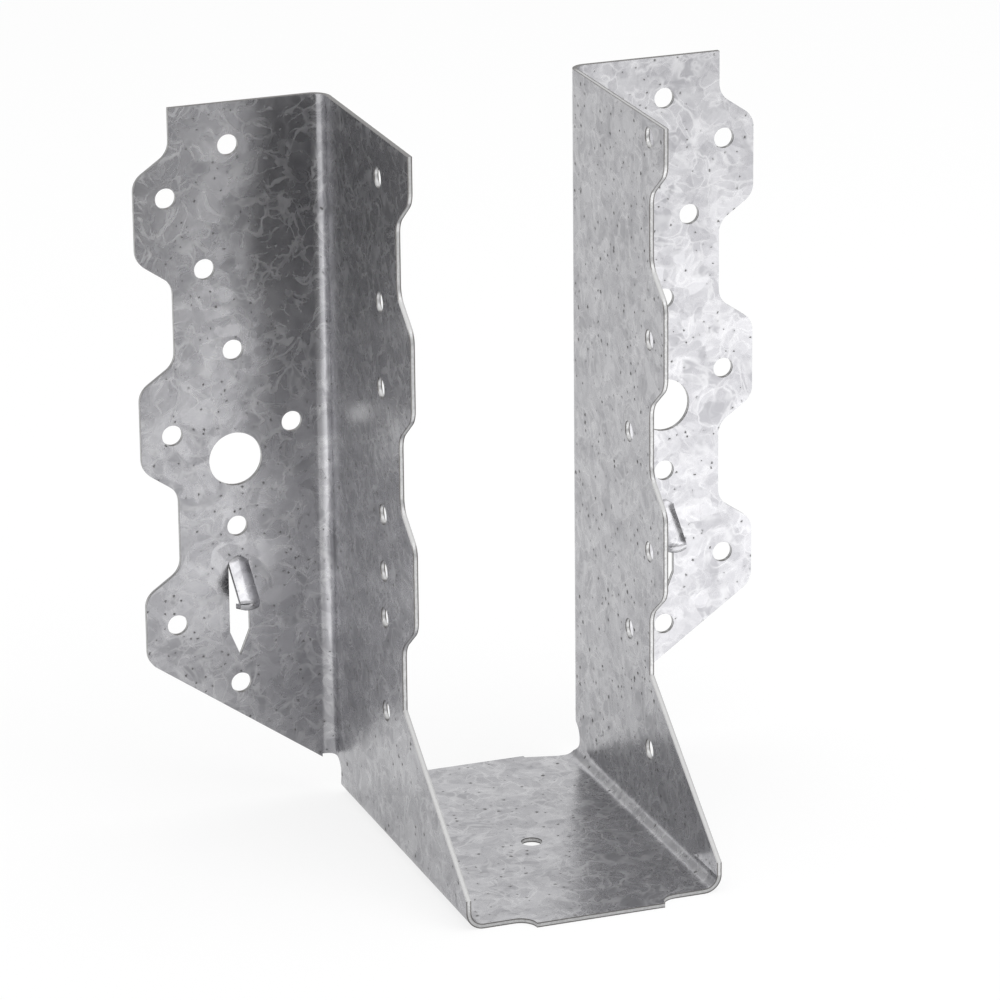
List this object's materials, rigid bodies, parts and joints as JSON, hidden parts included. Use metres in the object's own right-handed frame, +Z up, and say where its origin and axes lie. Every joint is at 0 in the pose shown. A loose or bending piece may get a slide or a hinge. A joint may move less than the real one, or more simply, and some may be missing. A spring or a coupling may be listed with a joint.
{
  "type": "joist hanger",
  "caption": "Face-fixed joist hanger folded from galvanised sheet, with stepped outward header flanges, a tapered seat, nail and bolt holes and pierced locating prongs.",
  "frame": {"origin": "on the header's face, midway between the two bolt holes", "axes": "+Y into the header, +Z up along the legs, X across the joist, which lies on the -Y side"},
  "size_m": [0.154, 0.0976, 0.173],
  "materials": {
    "galvanised_sheet": "hot-dip galvanised with fine spangle"
  },
  "bodies": {
    "root": {"joist_hanger": "galvanised_sheet"}
  },
  "joints": []
}
